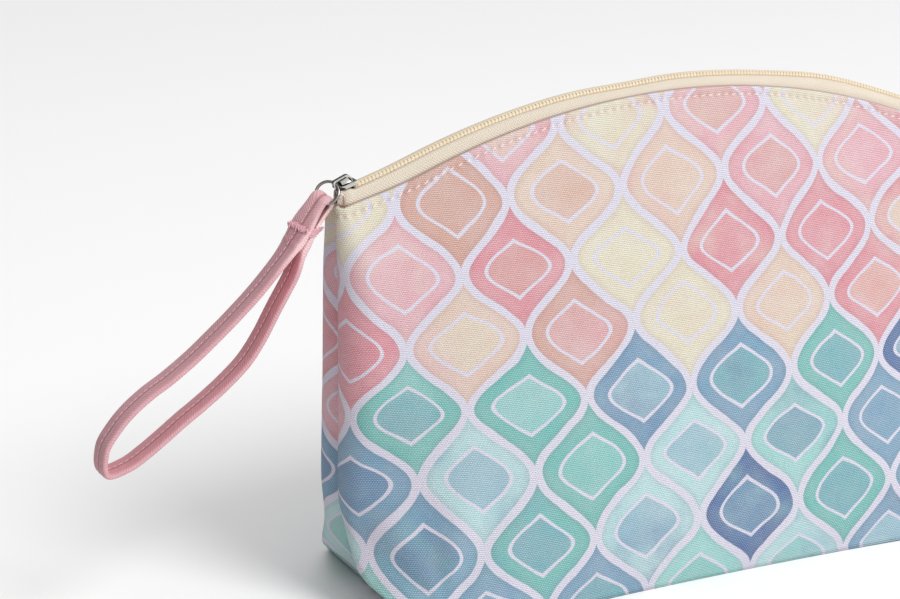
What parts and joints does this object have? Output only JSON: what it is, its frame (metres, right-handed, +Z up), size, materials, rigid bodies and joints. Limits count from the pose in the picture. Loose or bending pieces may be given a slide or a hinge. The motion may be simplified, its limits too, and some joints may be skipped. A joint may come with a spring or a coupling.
{
  "type": "toiletry bag",
  "caption": "Soft zipped toiletry bag of printed canvas with a curved top, boxed base corners, drawn-in side seams and a folded wrist strap on the slider's ring",
  "frame": {"origin": "middle of the base, on the floor", "axes": "X along the zip, with the slider at the -X end; the front faces -Y; Z up"},
  "size_m": [0.3206, 0.083, 0.1609],
  "materials": {
    "canvas": "printed cotton canvas, matte",
    "canvas_base": "printed cotton canvas, matte",
    "zip_tape": "woven tape, matte",
    "zip_coil": "nylon coil, satin",
    "steel": "nickel-plated, bright",
    "strap_cotton": "folded cotton tape, matte"
  },
  "bodies": {
    "root": {"front_panel": "canvas", "back_panel": "canvas", "base_panel": "canvas_base", "zip_tape_front": "zip_tape", "zip_tape_back": "zip_tape", "zip_chain": "zip_coil", "zip_slider": "steel", "pull_ring": "steel", "wrist_strap": "strap_cotton"}
  },
  "joints": []
}
